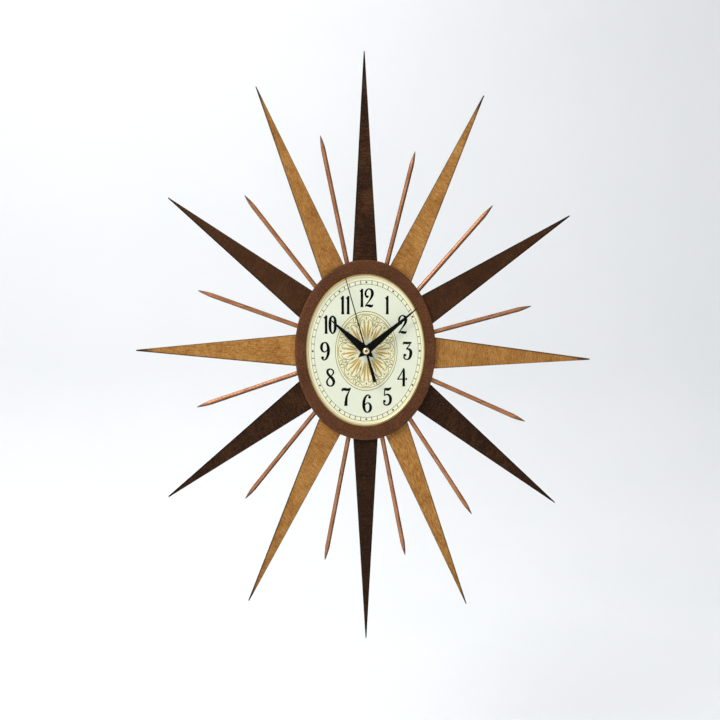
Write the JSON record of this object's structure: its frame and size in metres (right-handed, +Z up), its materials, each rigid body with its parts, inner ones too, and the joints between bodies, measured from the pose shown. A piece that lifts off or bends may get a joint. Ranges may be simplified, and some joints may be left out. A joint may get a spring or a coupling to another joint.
{
  "type": "sunburst wall clock",
  "caption": "Oval wall clock with tapering wooden rays, pointed copper rods, an inset cream dial, three hands and a battery quartz movement with its gear train.",
  "frame": {"origin": "centre of the hanger plate's hole, in the plane where the back rests on the wall", "axes": "+X to the right and +Z up as the clock is seen on the wall, +Y into the wall"},
  "size_m": [0.4965, 0.0416, 0.6419],
  "materials": {
    "body_wood": "stained, matt, fine grain",
    "dark_ray_wood": "dark stain, matt, open grain",
    "light_ray_wood": "honey stain, satin, open grain",
    "copper": "drawn copper, satin",
    "dial": "cream lacquer, printed",
    "gilt": "gold anodised, satin",
    "hand_black": "black lacquer",
    "brass": "turned, bright",
    "case_plastic": "moulded, fine spark texture",
    "gear_plastic": "moulded acetal",
    "steel": "rolled",
    "screw_steel": "zinc plated",
    "contact_metal": "nickel plated",
    "magnet": "sintered",
    "winding": "enamelled copper wire",
    "circuit": "solder mask",
    "battery_skin": "plain film over steel",
    "rubber": "moulded"
  },
  "bodies": {
    "clock": {"back_ring": "body_wood", "back_screws": "screw_steel", "battery": "battery_skin", "battery_contact_minus": "contact_metal", "battery_contact_plus": "contact_metal", "circuit_board": "circuit", "clock_body": "body_wood", "coil_bobbin": "case_plastic", "coil_core": "steel", "coil_winding": "winding", "copper_rod_01_30": "copper", "copper_rod_02_30": "copper", "copper_rod_03_30": "copper", "copper_rod_04_30": "copper", "copper_rod_05_30": "copper", "copper_rod_06_30": "copper", "copper_rod_07_30": "copper", "copper_rod_08_30": "copper", "copper_rod_09_30": "copper", "copper_rod_10_30": "copper", "copper_rod_11_30": "copper", "copper_rod_12_30": "copper", "dial_bead": "gilt", "dial_nut": "brass", "dial_plate": "dial", "dial_washer": "brass", "hanger_plate": "steel", "hanger_screws": "screw_steel", "movement_case": "case_plastic", "movement_cover": "case_plastic", "quartz_crystal": "contact_metal", "ray_dark_02": "dark_ray_wood", "ray_dark_04": "dark_ray_wood", "ray_dark_06": "dark_ray_wood", "ray_dark_08": "dark_ray_wood", "ray_dark_10": "dark_ray_wood", "ray_dark_12": "dark_ray_wood", "ray_light_01": "light_ray_wood", "ray_light_03": "light_ray_wood", "ray_light_05": "light_ray_wood", "ray_light_07": "light_ray_wood", "ray_light_09": "light_ray_wood", "ray_light_11": "light_ray_wood", "rubber_gasket": "rubber", "stator_plate": "steel"},
    "hour_work": {"hour_wheel": "gear_plastic", "hour_hand": "hand_black"},
    "minute_work": {"minute_pipe": "gear_plastic", "minute_hand": "hand_black"},
    "motion_work": {"motion_wheel": "gear_plastic"},
    "knob": {"setting_knob": "case_plastic"},
    "seconds_work": {"second_wheel": "gear_plastic", "second_hand": "hand_black", "second_hand_cap": "brass"},
    "rotor": {"rotor_magnet": "magnet", "rotor_pinion": "steel"},
    "intermediate": {"intermediate_wheel": "gear_plastic"},
    "third": {"third_wheel": "gear_plastic"},
    "centre": {"centre_wheel": "gear_plastic"}
  },
  "joints": [
    {"name": "minute_hand_turn", "type": "hinge", "parent": "clock", "child": "minute_work", "pos_m": [0, 0, -0.09734], "axis": [0, 1, 0], "continuous": true},
    {"name": "hour_hand_turn", "type": "hinge", "parent": "clock", "child": "hour_work", "pos_m": [0, 0, -0.09734], "axis": [0, 1, 0], "continuous": true},
    {"name": "motion_wheel_turn", "type": "hinge", "parent": "clock", "child": "motion_work", "pos_m": [0, 0, -0.08894], "axis": [0, 1, 0], "continuous": true},
    {"name": "setting_knob_turn", "type": "hinge", "parent": "clock", "child": "knob", "pos_m": [-0.0042, 0, -0.08167], "axis": [0, 1, 0], "continuous": true},
    {"name": "second_hand_turn", "type": "hinge", "parent": "clock", "child": "seconds_work", "pos_m": [0, 0, -0.09734], "axis": [0, 1, 0], "continuous": true},
    {"name": "rotor_turn", "type": "hinge", "parent": "clock", "child": "rotor", "pos_m": [0.01181, 0, -0.08648], "axis": [0, 1, 0], "continuous": true},
    {"name": "intermediate_wheel_turn", "type": "hinge", "parent": "clock", "child": "intermediate", "pos_m": [0.00831, 0, -0.09254], "axis": [0, 1, 0], "continuous": true},
    {"name": "third_wheel_turn", "type": "hinge", "parent": "clock", "child": "third", "pos_m": [-0.00779, 0, -0.09284], "axis": [0, 1, 0], "continuous": true},
    {"name": "centre_wheel_turn", "type": "hinge", "parent": "clock", "child": "centre", "pos_m": [0, 0, -0.09734], "axis": [0, 1, 0], "continuous": true}
  ],
  "couplings": [
    {"joint": "hour_hand_turn", "follows": "minute_hand_turn", "ratio": 0.083333},
    {"joint": "motion_wheel_turn", "follows": "minute_hand_turn", "ratio": -0.33333},
    {"joint": "setting_knob_turn", "follows": "minute_hand_turn", "ratio": 1},
    {"joint": "rotor_turn", "follows": "second_hand_turn", "ratio": 30},
    {"joint": "intermediate_wheel_turn", "follows": "second_hand_turn", "ratio": -5},
    {"joint": "third_wheel_turn", "follows": "second_hand_turn", "ratio": -0.13333},
    {"joint": "centre_wheel_turn", "follows": "second_hand_turn", "ratio": 0.016667}
  ]
}
